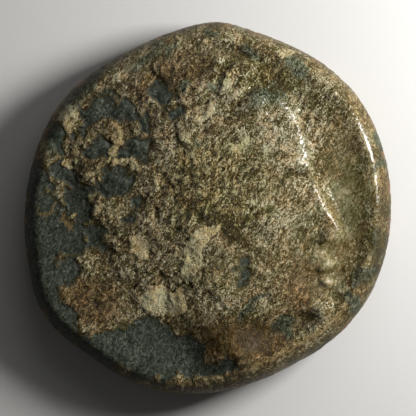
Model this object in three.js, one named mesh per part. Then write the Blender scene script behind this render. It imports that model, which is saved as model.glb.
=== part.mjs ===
// An ancient struck bronze coin, lying on its reverse with the obverse up.
// Obverse: a youthful head in profile to the right, with thick comma-shaped locks.
// Reverse: a plain tripod between two columns of shallow strokes.
// Lengths are millimetres. +Z is up, +Y points to the crown of the head and +X the way it faces.
// The origin is the middle of the underside, on the plane that the coin rests on.

import * as THREE from "three";

// The blank
const flanRadius = 8.75; // mean radius of the irregular blank
const bodyThickness = 2.4; // from the reverse field to the obverse field
const reverseRecess = 0.38; // the reverse field lies this far above the worn high points
const obverseBevel = 0.62; // width of the rounded shoulder round the obverse
const reverseBevel = 0.6; // width of the shoulder round the reverse
const waistShare = 0.52; // height of the widest line, as a share of the edge's height

// The uneven outline: broad bulges and flats left by casting and striking
const outlineSwells = [
  { at: 36, swell: 0.22, spread: 17 },
  { at: 87, swell: 0.25, spread: 6 },
  { at: 119, swell: -0.3, spread: 13 },
  { at: 165, swell: -0.16, spread: 17 },
  { at: 212, swell: 0.42, spread: 10 },
  { at: 250, swell: 0.12, spread: 15 },
  { at: 296, swell: -0.36, spread: 15 },
];

// The lip thrown up at the edge of the obverse die, highest on the right
const lip = {
  inset: 0.76, // from the outline to its ridge
  outerFlank: 0.27,
  innerFlank: 0.55,
  rise: 0.05,
  swells: [
    { at: 5, swell: 0.2, spread: 42 },
    { at: -55, swell: 0.13, spread: 30 },
    { at: 140, swell: 0.12, spread: 22 },
  ],
};
const reliefFade = { none: 0.45, whole: 1.6 }; // from the outline inwards, where the struck relief begins and is whole

// The head, whose own sizes are shares of its height
const headHeight = 13.2; // crown of the skull to the underside of the chin
const headCentre = new THREE.Vector2(-0.12, 0.25);
const headTilt = 7; // degrees, leaning back
const profileStep = 0.4; // the head's edge above the field
const stepReach = { face: 0.5, back: 1.6 }; // the width of the slope up to that edge
const profileDome = 0.42; // the further rise to the middle of the cheek
const domeReach = 3.4; // how far inside the edge that rise ends
const hairStep = 0.28; // the hair's edge
const hairDome = 0.3;
const hairReach = 2.4;
const lockRise = 0.3;
const wearLevel = 0.85; // relief above this is rubbed down
const wearSoftness = 0.35;
const backWear = 0.6; // share of the relief that is gone at the back of the head
const wornLocks = { at: [0.06, 0.08], size: [0.24, 0.24], turn: 20 };
const wornLockShare = 0.65;

const profileMarks = [
  [0.16, 0.49], [0.345, 0.345], [0.395, 0.22], [0.41, 0.105], [0.412, 0.045], // skull, hairline, brow, bridge
  [0.445, -0.05], [0.492, -0.145], [0.462, -0.195], // nose
  [0.425, -0.215], [0.446, -0.265], [0.424, -0.298], [0.438, -0.33], // lips
  [0.412, -0.372], [0.432, -0.43], [0.385, -0.495], // chin
  [0.25, -0.455], [0.19, -0.54], [0.21, -0.75], [-0.05, -0.75], // throat and neck
  [-0.1, -0.55], [-0.19, -0.36], [-0.26, -0.22], [-0.34, -0.06], [-0.4, 0.12], // nape and back of the head
  [-0.36, 0.33], [-0.2, 0.46], [-0.02, 0.51], // crown
];
const hairMarks = [
  [0.31, 0.4], [0.325, 0.31], [0.285, 0.215], [0.21, 0.14], [0.14, 0.05], [0.1, -0.05], // brow to temple
  [0.065, -0.13], [-0.02, -0.17], [-0.06, -0.24], [-0.12, -0.3], [-0.18, -0.36], // round the ear to the nape
  [-0.24, -0.38], [-0.33, -0.27], [-0.385, -0.12], [-0.42, 0.02], [-0.465, 0.18], // back of the hair
  [-0.44, 0.36], [-0.27, 0.51], [0, 0.565], [0.18, 0.53], [0.28, 0.47], // over the crown
];

// Locks of hair stand in arcs round a point above the ear
const hairArcs = [
  { radius: 0.1, from: 40, to: 190 },
  { radius: 0.185, from: 25, to: 215 },
  { radius: 0.27, from: 33, to: 228 },
  { radius: 0.355, from: 40, to: 234 },
  { radius: 0.44, from: 46, to: 230 },
  { radius: 0.52, from: 56, to: 216 },
];
const hairFocus = [-0.035, 0];
const lockPitch = 0.098;
const lockLength = 0.19;
const lockWidth = 0.055;
const lockCurls = { most: 80, others: -70 }; // degrees that a lock turns along its length
const lockSway = 15; // degrees that the headings wander
const lockDrift = 0.05; // share of the radius by which locks leave their arc
const lockLean = { front: 18, back: 60 }; // degrees from straight out

// Rounded masses of the head: at, size and turn in its own shares, rise in millimetres
const headMasses = [
  { at: [0.2, 0.12], size: [0.16, 0.16], turn: 0, rise: 0.06 }, // temple
  { at: [0.235, -0.13], size: [0.105, 0.08], turn: -18, rise: 0.13 }, // cheekbone
  { at: [0.1, -0.24], size: [0.13, 0.1], turn: 0, rise: 0.07 }, // cheek
  { at: [0.06, -0.485], size: [0.2, 0.055], turn: 14, rise: -0.14 }, // hollow under the jaw
  { at: [0.325, -0.3], size: [0.045, 0.07], turn: 20, rise: -0.1 }, // corner of the mouth
  { at: [0.335, 0.035], size: [0.062, 0.048], turn: -12, rise: -0.28 }, // eye socket
  { at: [0.333, 0.022], size: [0.036, 0.026], turn: -6, rise: 0.24 }, // eye
  { at: [0.456, -0.155], size: [0.028, 0.026], turn: 0, rise: 0.14 }, // tip of the nose
  { at: [0.422, -0.172], size: [0.024, 0.02], turn: 20, rise: 0.2 }, // wing of the nose
  { at: [0.393, -0.432], size: [0.044, 0.042], turn: 0, rise: 0.24 }, // chin
  { at: [0.392, -0.375], size: [0.032, 0.014], turn: 0, rise: -0.14 }, // fold above it
];
const headRidges = [
  { through: [[0.235, 0.075], [0.29, 0.106], [0.35, 0.106], [0.4, 0.078]], width: 0.027, rise: 0.18 }, // brow
  { through: [[0.402, 0.08], [0.418, 0], [0.442, -0.075], [0.462, -0.14]], width: 0.036, rise: 0.2 }, // nose
  { through: [[0.372, -0.292], [0.4, -0.27], [0.434, -0.262]], width: 0.021, rise: 0.22 }, // upper lip
  { through: [[0.376, -0.306], [0.404, -0.328], [0.428, -0.332]], width: 0.021, rise: 0.22 }, // lower lip
  {
    through: [[0.37, -0.485], [0.24, -0.445], [0.11, -0.385], [0.03, -0.3], [0, -0.2]], // jaw
    width: 0.05,
    rise: 0.1,
  },
  {
    through: [[-0.08, -0.31], [0, -0.43], [0.08, -0.56], [0.13, -0.7]], // neck muscle
    width: 0.065,
    rise: 0.08,
  },
];
const earRidge = {
  through: [
    [0.035, -0.105], [0.03, -0.06], [0, -0.015], [-0.045, -0.01], // rim
    [-0.07, -0.05], [-0.05, -0.11], [0.01, -0.175], // back to the lobe
  ],
  width: 0.024,
  rise: 0.2,
};
const earHollow = { at: [-0.018, -0.085], size: [0.06, 0.085], turn: 10 };

// The reverse, seen from below: a tripod, whose own sizes are shares of its height
const reverseLip = { inset: 1.15, width: 0.55, rise: 0.46 };
const tripodHeight = 9.4;
const tripodShares = {
  footSpread: 0.36, // from the middle to an outer foot
  footLength: 0.05,
  shoulder: 0.235, // from the middle to where an outer leg meets the bowl
  legHalfWidth: 0.046,
  bowlHalfWidth: 0.29,
  bowlDepth: 0.19,
  rimHalfWidth: 0.038,
  handleRadius: 0.075,
  handlePitch: 0.215,
  handleHalfWidth: 0.028,
  strutLevel: 0.6, // down from the bowl's rim to the feet
  strutHalfWidth: 0.026,
};
const deviceRise = 0.46; // before wear levels it with the plane that the coin rests on
const deviceFlank = 0.22;

// Two columns of shallow strokes stand where its inscription would be
const strokeCount = 6; // in each column
const strokePitch = 1.2;
const strokeLength = 0.9;
const strokeHalfWidth = 0.28;
const strokeRise = 0.2;
const strokeClearance = 0.12; // from a column's outer end to the lip

// Fineness of the faceted faces
const obverseRings = 30;
const reverseRings = 20;
const edgeSteps = 4;
const curveSteps = 5; // between two points of an outline
const feather = 0.11; // heights are averaged over this radius

const radians = THREE.MathUtils.degToRad;
const smooth = (low, high, x) => THREE.MathUtils.smoothstep(x, low, high);

function swellsAt(swells, degrees) {
  return swells.reduce((sum, { at, swell, spread }) => {
    const away = THREE.MathUtils.euclideanModulo(degrees - at + 180, 360) - 180;
    return sum + swell * Math.exp(-0.5 * (away / spread) ** 2);
  }, 0);
}

function flanReach(degrees) {
  return flanRadius + swellsAt(outlineSwells, degrees);
}

// A curve through points, as a chain of short straight lines
function chainThrough(points, closed = false) {
  const curve = new THREE.CatmullRomCurve3(
    points.map(([u, v]) => new THREE.Vector3(u, v, 0)),
    closed,
    "catmullrom",
  );
  const spans = closed ? points.length : points.length - 1;
  return Array.from({ length: spans * curveSteps + 1 }, (_, i) => curve.getPoint(i / (spans * curveSteps)));
}

// The distance from a point to a chain, and the share of the chain's length where it is nearest
function nearestOn(chain, u, v) {
  let distance = Infinity;
  let share = 0;
  for (let i = 0; i + 1 < chain.length; i++) {
    const a = chain[i];
    const b = chain[i + 1];
    const du = b.x - a.x;
    const dv = b.y - a.y;
    const t = THREE.MathUtils.clamp(((u - a.x) * du + (v - a.y) * dv) / (du * du + dv * dv), 0, 1);
    const d = Math.hypot(u - a.x - t * du, v - a.y - t * dv);
    if (d < distance) {
      distance = d;
      share = (i + t) / (chain.length - 1);
    }
  }
  return { distance, share };
}

// The distance from a closed chain, counted positive inside it
function depthInside(chain, u, v) {
  let inside = false;
  for (let i = 0; i + 1 < chain.length; i++) {
    const a = chain[i];
    const b = chain[i + 1];
    if (a.y > v !== b.y > v && u < ((b.x - a.x) * (v - a.y)) / (b.y - a.y) + a.x) {
      inside = !inside;
    }
  }
  const { distance } = nearestOn(chain, u, v);
  return inside ? distance : -distance;
}

function massAt({ at, size, turn }, u, v, power = 2) {
  const c = Math.cos(radians(turn));
  const s = Math.sin(radians(turn));
  const across = ((u - at[0]) * c + (v - at[1]) * s) / size[0];
  const up = (-(u - at[0]) * s + (v - at[1]) * c) / size[1];
  return Math.exp(-(Math.hypot(across, up) ** power));
}

// A rounded ridge that thins at both ends
function ridgeAt({ chain, width }, u, v) {
  const { distance, share } = nearestOn(chain, u, v);
  const ends = 0.3 + 0.7 * Math.min(smooth(0, 0.3, share), smooth(0, 0.3, 1 - share));
  return ends * Math.max(0, 1 - (distance / (width * ends)) ** 2);
}

const profileChain = chainThrough(profileMarks, true);
const hairChain = chainThrough(hairMarks, true);
const ridges = headRidges.map((ridge) => ({ ...ridge, chain: chainThrough(ridge.through) }));
const ear = { ...earRidge, chain: chainThrough(earRidge.through) };

// Each lock is an arc with a place, a heading and a curl
function makeLocks() {
  const locks = [];
  hairArcs.forEach(({ radius, from, to }, row) => {
    const count = Math.max(2, Math.round((radians(to - from) * radius) / lockPitch));
    for (let i = 0; i < count; i++) {
      const degrees = from + ((to - from) * (i + 0.5 + 0.25 * (row % 2))) / count;
      const reach = radius * (1 + lockDrift * Math.sin(3.1 * i + row));
      const at = [
        hairFocus[0] + reach * Math.cos(radians(degrees)),
        hairFocus[1] + reach * Math.sin(radians(degrees)),
      ];
      const overEar = massAt(earHollow, at[0], at[1]) > Math.exp(-1.5);
      if (overEar || depthInside(hairChain, at[0], at[1]) < -0.005) {
        continue;
      }
      const lean = THREE.MathUtils.lerp(lockLean.front, lockLean.back, smooth(90, 190, degrees));
      locks.push({
        at,
        heading: degrees - lean + lockSway * Math.sin(2.3 * i + 1.7 * row),
        length: lockLength * (0.9 + 0.2 * Math.sin(1.9 * i + row)),
        width: lockWidth * (0.95 + 0.15 * Math.cos(2.7 * i + row)),
        curl: (row + 2 * i) % 5 > 1 ? lockCurls.most : lockCurls.others,
      });
    }
  });
  return locks;
}

const locks = makeLocks();

// The height of one lock, from 0 to 1: widest near its root, thinning to a curled tip
function lockAt({ at, heading, length, width, curl }, u, v) {
  const c = Math.cos(radians(heading));
  const s = Math.sin(radians(heading));
  const forward = (u - at[0]) * c + (v - at[1]) * s;
  const side = -(u - at[0]) * s + (v - at[1]) * c;
  const bend = length / radians(curl);
  const turn = Math.sign(bend);
  const along = (Math.atan2(forward, turn * (bend - side)) * Math.abs(bend)) / length + 0.5;
  if (along <= 0 || along >= 1) {
    return 0;
  }
  const across = bend - turn * Math.hypot(forward, bend - side);
  const halfWidth = width * 1.9 * Math.sqrt(along + 0.02) * (1 - along) ** 0.6;
  const body = Math.max(0, 1 - (across / halfWidth) ** 2) ** 0.6;
  return body * (0.75 + 0.25 * Math.sin(Math.PI * along));
}

// Height of the head above the obverse field
function headHeightAt(x, y) {
  const c = Math.cos(radians(headTilt));
  const s = Math.sin(radians(headTilt));
  const u = ((x - headCentre.x) * c + (y - headCentre.y) * s) / headHeight;
  const v = (-(x - headCentre.x) * s + (y - headCentre.y) * c) / headHeight;
  const skin = depthInside(profileChain, u, v) * headHeight;
  const hair = depthInside(hairChain, u, v) * headHeight;
  const rounded = (depth, reach) => 1 - (1 - THREE.MathUtils.clamp(depth / reach, 0, 1)) ** 2;

  const reach = THREE.MathUtils.lerp(stepReach.back, stepReach.face, smooth(-0.15, 0.15, u));
  const stepped = (depth) => smooth(-0.3 * reach, 0.7 * reach, depth);
  const base = profileStep * stepped(skin) + profileDome * rounded(skin, domeReach);
  const masses = headMasses.reduce((sum, mass) => sum + mass.rise * massAt(mass, u, v), 0);
  const lines = ridges.reduce((sum, ridge) => sum + ridge.rise * ridgeAt(ridge, u, v), 0);
  const face = base + masses + lines;

  const cap = hairStep * stepped(hair) + hairDome * rounded(hair, hairReach);
  const cover = smooth(-0.05, 0.3, hair) * (1 - massAt(earHollow, u, v, 4));
  const dressed = THREE.MathUtils.lerp(face, Math.max(base, cap), cover);
  const tops = locks.reduce((top, lock) => Math.max(top, lockAt(lock, u, v)), 0);
  const left = (1 - wornLockShare * massAt(wornLocks, u, v, 3)) * smooth(-0.2, 0.9, hair);
  const relief = dressed + left * lockRise * tops + ear.rise * ridgeAt(ear, u, v);
  const worn = wearLevel + wearSoftness * (1 - Math.exp(-(relief - wearLevel) / wearSoftness));
  const kept = 1 - backWear * smooth(0, 0.4, -u);
  return Math.max(0, relief > wearLevel ? worn : relief) * kept;
}

function lipHeightAt(degrees, inset) {
  const rise = lip.rise + swellsAt(lip.swells, degrees);
  const flank = inset < lip.inset ? lip.outerFlank : lip.innerFlank;
  return rise * Math.exp(-((Math.abs(inset - lip.inset) / flank) ** 1.5));
}

function obverseHeightAt(x, y) {
  const degrees = THREE.MathUtils.radToDeg(Math.atan2(y, x));
  const inset = flanReach(degrees) - Math.hypot(x, y);
  const struck = headHeightAt(x, y) * smooth(reliefFade.none, reliefFade.whole, inset);
  return reverseRecess + bodyThickness + lipHeightAt(degrees, inset) + struck;
}

// The tripod: a bowl with three ring handles on three legs with feet, joined by a strut
function makeTripod() {
  const share = (name) => tripodShares[name] * tripodHeight;
  const rim = tripodHeight / 2 - 2 * share("handleRadius") - share("handleHalfWidth");
  const sole = -tripodHeight / 2 + share("legHalfWidth");
  const strut = THREE.MathUtils.lerp(rim, sole, tripodShares.strutLevel);
  const strutReach = THREE.MathUtils.lerp(share("shoulder"), share("footSpread"), tripodShares.strutLevel);
  const bar = (from, to, width) => ({ chain: chainThrough([from, to]), width });

  const bars = [
    bar([-share("bowlHalfWidth"), rim], [share("bowlHalfWidth"), rim], share("rimHalfWidth")),
    bar([-strutReach, strut], [strutReach, strut], share("strutHalfWidth")),
  ];
  const handles = [];
  for (const side of [-1, 0, 1]) {
    const foot = side * share("footSpread");
    const toe = share("footLength");
    bars.push(bar([side * share("shoulder"), rim], [foot, sole], share("legHalfWidth")));
    bars.push(bar([foot - toe, sole], [foot + toe, sole], share("legHalfWidth")));
    handles.push([side * share("handlePitch"), rim + share("handleRadius")]);
  }
  return { share, rim, bars, handles };
}

const tripod = makeTripod();

function tripodHeightAt(s, t) {
  const { share, rim, bars, handles } = tripod;
  const flatTopped = (distance, halfWidth) => 1 - smooth(halfWidth, halfWidth + deviceFlank, distance);
  const tops = bars.map(({ chain, width }) => flatTopped(nearestOn(chain, s, t).distance, width));
  for (const [hs, ht] of handles) {
    const off = Math.abs(Math.hypot(s - hs, t - ht) - share("handleRadius"));
    tops.push(flatTopped(off, share("handleHalfWidth")));
  }
  const below = rim - t;
  const bowl = below >= 0 ? Math.hypot(s / share("bowlHalfWidth"), below / share("bowlDepth")) : Infinity;
  tops.push(1 - smooth(0.88, 1.04, bowl));
  return deviceRise * Math.max(...tops);
}

function strokesHeightAt(s, t) {
  const fieldRadius = flanRadius - reverseLip.inset - reverseLip.width;
  const tallest = ((strokeCount - 1) / 2) * strokePitch + strokeHalfWidth;
  const outerEnd = Math.sqrt(Math.max(0, fieldRadius ** 2 - tallest ** 2)) - strokeClearance;
  const column = outerEnd - strokeLength / 2;
  const last = (strokeCount - 1) / 2;
  const row = THREE.MathUtils.clamp(Math.round(t / strokePitch + last), 0, strokeCount - 1) - last;
  const beyond = Math.max(0, Math.abs(Math.abs(s) - column) - strokeLength / 2);
  const away = Math.hypot(beyond, t - row * strokePitch);
  return strokeRise * Math.max(0, 1 - (away / strokeHalfWidth) ** 2);
}

// Height of the reverse above the resting plane: raised parts reach down to it and are worn flat
function reverseHeightAt(x, y) {
  const degrees = THREE.MathUtils.radToDeg(Math.atan2(y, x));
  const inset = flanReach(degrees) - Math.hypot(x, y);
  const ring = reverseLip.rise * Math.exp(-(((inset - reverseLip.inset) / reverseLip.width) ** 4));
  const relief = Math.max(tripodHeightAt(-x, y), strokesHeightAt(-x, y), ring);
  return Math.max(0, reverseRecess - relief);
}

// Averages a height over a small disc, as handling rubs a struck edge soft
function feathered(heightAt, x, y) {
  let sum = 2 * heightAt(x, y);
  for (let i = 0; i < 6; i++) {
    const turn = (i * Math.PI) / 3;
    sum += heightAt(x + feather * Math.cos(turn), y + feather * Math.sin(turn));
  }
  return sum / 8;
}

// Rings of points round the middle, with six more on each ring, so that the faces stay even
function faceRings(ringCount, bevel, heightAt) {
  const rings = [];
  for (let k = 0; k <= ringCount; k++) {
    const count = Math.max(1, 6 * k);
    rings.push(
      Array.from({ length: count }, (_, i) => {
        const degrees = (360 * i) / count;
        const reach = ((flanReach(degrees) - bevel) * k) / ringCount;
        const x = reach * Math.cos(radians(degrees));
        const y = reach * Math.sin(radians(degrees));
        return new THREE.Vector3(x, y, heightAt(x, y));
      }),
    );
  }
  return rings;
}

// The rounded edge between the last ring of the obverse and that of the reverse
function edgeRings(topRing) {
  const rings = [];
  for (let step = 1; step < edgeSteps; step++) {
    const turn = (step / edgeSteps) * Math.PI;
    const upper = turn <= Math.PI / 2;
    rings.push(
      topRing.map((top) => {
        const angle = Math.atan2(top.y, top.x);
        const outline = flanReach(THREE.MathUtils.radToDeg(angle));
        const bevel = upper ? obverseBevel : reverseBevel;
        const reach = outline - bevel * (1 - Math.sin(turn));
        const inner = outline - reverseBevel;
        const bottom = reverseHeightAt(inner * Math.cos(angle), inner * Math.sin(angle));
        const waist = THREE.MathUtils.lerp(bottom, top.z, waistShare);
        const z = waist + (upper ? top.z - waist : waist - bottom) * Math.cos(turn);
        return new THREE.Vector3(reach * Math.cos(angle), reach * Math.sin(angle), z);
      }),
    );
  }
  return rings;
}

// Joins two rings of any counts with triangles, both starting at angle 0 and running the same way
function stitch(outer, inner, triangle) {
  let i = 0;
  let j = 0;
  while (i < outer.length || j < inner.length) {
    const outerNext = inner.length === 1 || (i + 1) / outer.length <= (j + 1) / inner.length + 1e-9;
    const a = outer[i % outer.length];
    const b = inner[j % inner.length];
    if (outerNext && i < outer.length) {
      i += 1;
      triangle(b, a, outer[i % outer.length]);
    } else if (inner.length > 1 && j < inner.length) {
      j += 1;
      triangle(b, a, inner[j % inner.length]);
    } else {
      break;
    }
  }
}

class CoinGeometry extends THREE.BufferGeometry {
  constructor() {
    super();
    const obverse = faceRings(obverseRings, obverseBevel, (x, y) => feathered(obverseHeightAt, x, y));
    const reverse = faceRings(reverseRings, reverseBevel, (x, y) => feathered(reverseHeightAt, x, y));
    const shell = [...obverse, ...edgeRings(obverse.at(-1)), ...reverse.reverse()];

    const indexOf = new Map(shell.flat().map((point, index) => [point, index]));
    const index = [];
    const triangle = (a, b, c) => index.push(indexOf.get(a), indexOf.get(b), indexOf.get(c));
    for (let k = 0; k + 1 < shell.length; k++) {
      const [above, below] = [shell[k], shell[k + 1]];
      if (below.length >= above.length) {
        stitch(below, above, triangle);
      } else {
        stitch(above, below, (a, b, c) => triangle(a, c, b));
      }
    }
    this.setFromPoints([...indexOf.keys()]);
    this.setIndex(index);

    // The bounding box is centred over the origin, and the worn high points rest at height 0
    this.computeBoundingBox();
    const middle = this.boundingBox.getCenter(new THREE.Vector3());
    this.translate(-middle.x, -middle.y, -this.boundingBox.min.z);
    this.computeVertexNormals();
  }
}

const patinatedBronze = new THREE.MeshStandardMaterial({ color: 0x6a5f47, roughness: 0.55, metalness: 0.35 });

const coin = new THREE.Mesh(new CoinGeometry(), patinatedBronze);
coin.name = "coin";

const group = new THREE.Group();
group.add(coin);

export default group;
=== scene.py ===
import math

import bpy
import numpy as np
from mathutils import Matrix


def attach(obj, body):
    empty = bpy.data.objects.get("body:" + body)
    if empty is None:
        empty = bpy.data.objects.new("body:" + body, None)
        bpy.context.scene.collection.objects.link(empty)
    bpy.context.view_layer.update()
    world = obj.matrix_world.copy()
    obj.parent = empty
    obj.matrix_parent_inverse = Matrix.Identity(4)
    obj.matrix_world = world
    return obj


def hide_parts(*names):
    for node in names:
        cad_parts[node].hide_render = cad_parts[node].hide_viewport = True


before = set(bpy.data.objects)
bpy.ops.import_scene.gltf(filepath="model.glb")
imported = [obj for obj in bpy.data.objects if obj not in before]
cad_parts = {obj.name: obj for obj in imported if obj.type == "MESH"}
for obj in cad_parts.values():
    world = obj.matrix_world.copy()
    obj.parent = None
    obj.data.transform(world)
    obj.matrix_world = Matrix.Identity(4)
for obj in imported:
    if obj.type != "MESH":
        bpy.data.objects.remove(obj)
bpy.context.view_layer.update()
millimetre = 0.001  # heights and places below are millimetres, and meshes are metres

# The sheets: square arrays of heights and masks that cover the coin, seen from above
sheetStep = 0.04
sheetReach = 9.68
sheetLine = np.arange(-sheetReach, sheetReach + sheetStep / 2, sheetStep)
sheetX, sheetY = np.meshgrid(sheetLine, sheetLine)


def smooth(low, high, x):
    t = np.clip((x - low) / (high - low), 0, 1)
    return t * t * (3 - 2 * t)


def mix(a, b, share):
    return a + (b - a) * share


def readSheet(sheet, x, y):
    # values between the points of a sheet
    across = (x + sheetReach) / sheetStep
    up = (y + sheetReach) / sheetStep
    i = np.clip(np.floor(across).astype(int), 0, sheet.shape[1] - 2)
    j = np.clip(np.floor(up).astype(int), 0, sheet.shape[0] - 2)
    s, t = across - i, up - j
    near = mix(sheet[j, i], sheet[j, i + 1], s)
    far = mix(sheet[j + 1, i], sheet[j + 1, i + 1], s)
    return mix(near, far, t)


def rubbed(sheet, radius):
    # a Gaussian blur, as handling and corrosion round off a struck edge
    rows = np.fft.fftfreq(sheet.shape[0], sheetStep)[:, None]
    columns = np.fft.rfftfreq(sheet.shape[1], sheetStep)[None, :]
    keep = np.exp(-2 * (math.pi * radius) ** 2 * (rows**2 + columns**2))
    return np.fft.irfft2(np.fft.rfft2(sheet) * keep, sheet.shape)


def mottle(size, seed, octaves=3, x=sheetX, y=sheetY):
    # smooth random blotches from about -1 to 1, with finer ones added at half the size each time
    draw = np.random.default_rng(seed)
    cells = 256
    total = np.zeros(x.shape)
    weight = 1.0
    for octave in range(octaves):
        lattice = draw.random((cells, cells)) * 2 - 1
        # each lattice is turned and shifted, so that their lines don't meet
        turn = math.radians(31 + 37 * octave)
        u = (x * math.cos(turn) - y * math.sin(turn)) / size + 91.3
        v = (x * math.sin(turn) + y * math.cos(turn)) / size + 57.7
        i, j = np.floor(u).astype(int), np.floor(v).astype(int)
        s, t = smooth(0, 1, u - i), smooth(0, 1, v - j)
        i, j = i % cells, j % cells
        iNext, jNext = (i + 1) % cells, (j + 1) % cells
        low = mix(lattice[j, i], lattice[j, iNext], s)
        high = mix(lattice[jNext, i], lattice[jNext, iNext], s)
        total += weight * mix(low, high, t)
        weight *= 0.5
        size *= 0.5
    return total


# Curves and shapes on the sheets


def curveThrough(points, closed=False, steps=5):
    p = np.array(points, float)
    count = len(p)
    spans = count if closed else count - 1
    first = p[-1] if closed else 2 * p[0] - p[1]
    last = p[:2] if closed else 2 * p[-1:] - p[-2:-1]
    q = np.vstack([first, p, last])
    t = np.linspace(0, 1, steps, endpoint=False)[:, None]
    pieces = []
    for i in range(spans):
        a, b, c, d = q[i], q[i + 1], q[i + 2], q[i + 3]
        pieces.append(b + 0.5 * t * (c - a + t * (2 * a - 5 * b + 4 * c - d + t * (3 * (b - c) + d - a))))
    pieces.append(p[:1] if closed else p[-1:])
    return np.vstack(pieces)


def nearestOn(curve, x, y):
    # distance to a curve, and the share of its length where it is nearest
    distance = np.full(x.shape, np.inf)
    share = np.zeros(x.shape)
    for i in range(len(curve) - 1):
        (ax, ay), (bx, by) = curve[i], curve[i + 1]
        dx, dy = bx - ax, by - ay
        t = np.clip(((x - ax) * dx + (y - ay) * dy) / (dx * dx + dy * dy), 0, 1)
        away = np.hypot(x - ax - t * dx, y - ay - t * dy)
        nearer = away < distance
        distance = np.where(nearer, away, distance)
        share = np.where(nearer, (i + t) / (len(curve) - 1), share)
    return distance, share


def depthInside(curve, x, y):
    inside = np.zeros(x.shape, bool)
    for i in range(len(curve) - 1):
        (ax, ay), (bx, by) = curve[i], curve[i + 1]
        if ay != by:
            crosses = ((ay > y) != (by > y)) & (x < (bx - ax) * (y - ay) / (by - ay) + ax)
            inside ^= crosses
    distance = nearestOn(curve, x, y)[0]
    return np.where(inside, distance, -distance)


def massAt(x, y, at, size, turn, power=2):
    # a soft mound, 1 at its middle, from its half sizes and its turn in degrees
    c, s = math.cos(math.radians(turn)), math.sin(math.radians(turn))
    across = ((x - at[0]) * c + (y - at[1]) * s) / size[0]
    up = (-(x - at[0]) * s + (y - at[1]) * c) / size[1]
    return np.exp(-np.hypot(across, up) ** power)


def ridgeAt(x, y, through, width):
    # a rounded ridge that thins at both ends
    distance, share = nearestOn(curveThrough(through), x, y)
    ends = 0.3 + 0.7 * np.minimum(smooth(0, 0.3, share), smooth(0, 0.3, 1 - share))
    return ends * np.clip(1 - (distance / (width * ends)) ** 2, 0, 1)


# The blank

blank = {
    "radius": 8.75,
    "bodyThickness": 2.4,
    "reverseRecess": 0.38,
    "obverseBevel": 0.62,
    "reverseBevel": 0.6,
    "waistShare": 0.52,
    "swells": [(36, 0.22, 17), (87, 0.25, 6), (119, -0.3, 13), (165, -0.16, 17), (212, 0.42, 10),
               (250, 0.12, 15), (296, -0.36, 15)],  # degrees, swell, spread in degrees
    "lipInset": 0.76,
    "lipWidths": (0.32, 0.55),  # outer and inner flank
    "lipRise": 0.05,
    "lipSwells": [(5, 0.2, 42), (-55, 0.13, 30), (140, 0.12, 22)],
    "reliefFade": (0.45, 1.6),  # from the outline inwards, where the struck relief begins and is whole
    "edgeRoughness": 0.035,
}


def swellsAt(swells, degrees):
    total = np.zeros(np.shape(degrees))
    for at, swell, spread in swells:
        away = (degrees - at + 180) % 360 - 180
        total = total + swell * np.exp(-0.5 * (away / spread) ** 2)
    return total


def blankReach(degrees):
    return blank["radius"] + swellsAt(blank["swells"], degrees)


sheetDegrees = np.degrees(np.arctan2(sheetY, sheetX))
sheetInset = blankReach(sheetDegrees) - np.hypot(sheetX, sheetY)  # from the outline inwards

# The head: its own sizes are shares of its height

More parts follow.
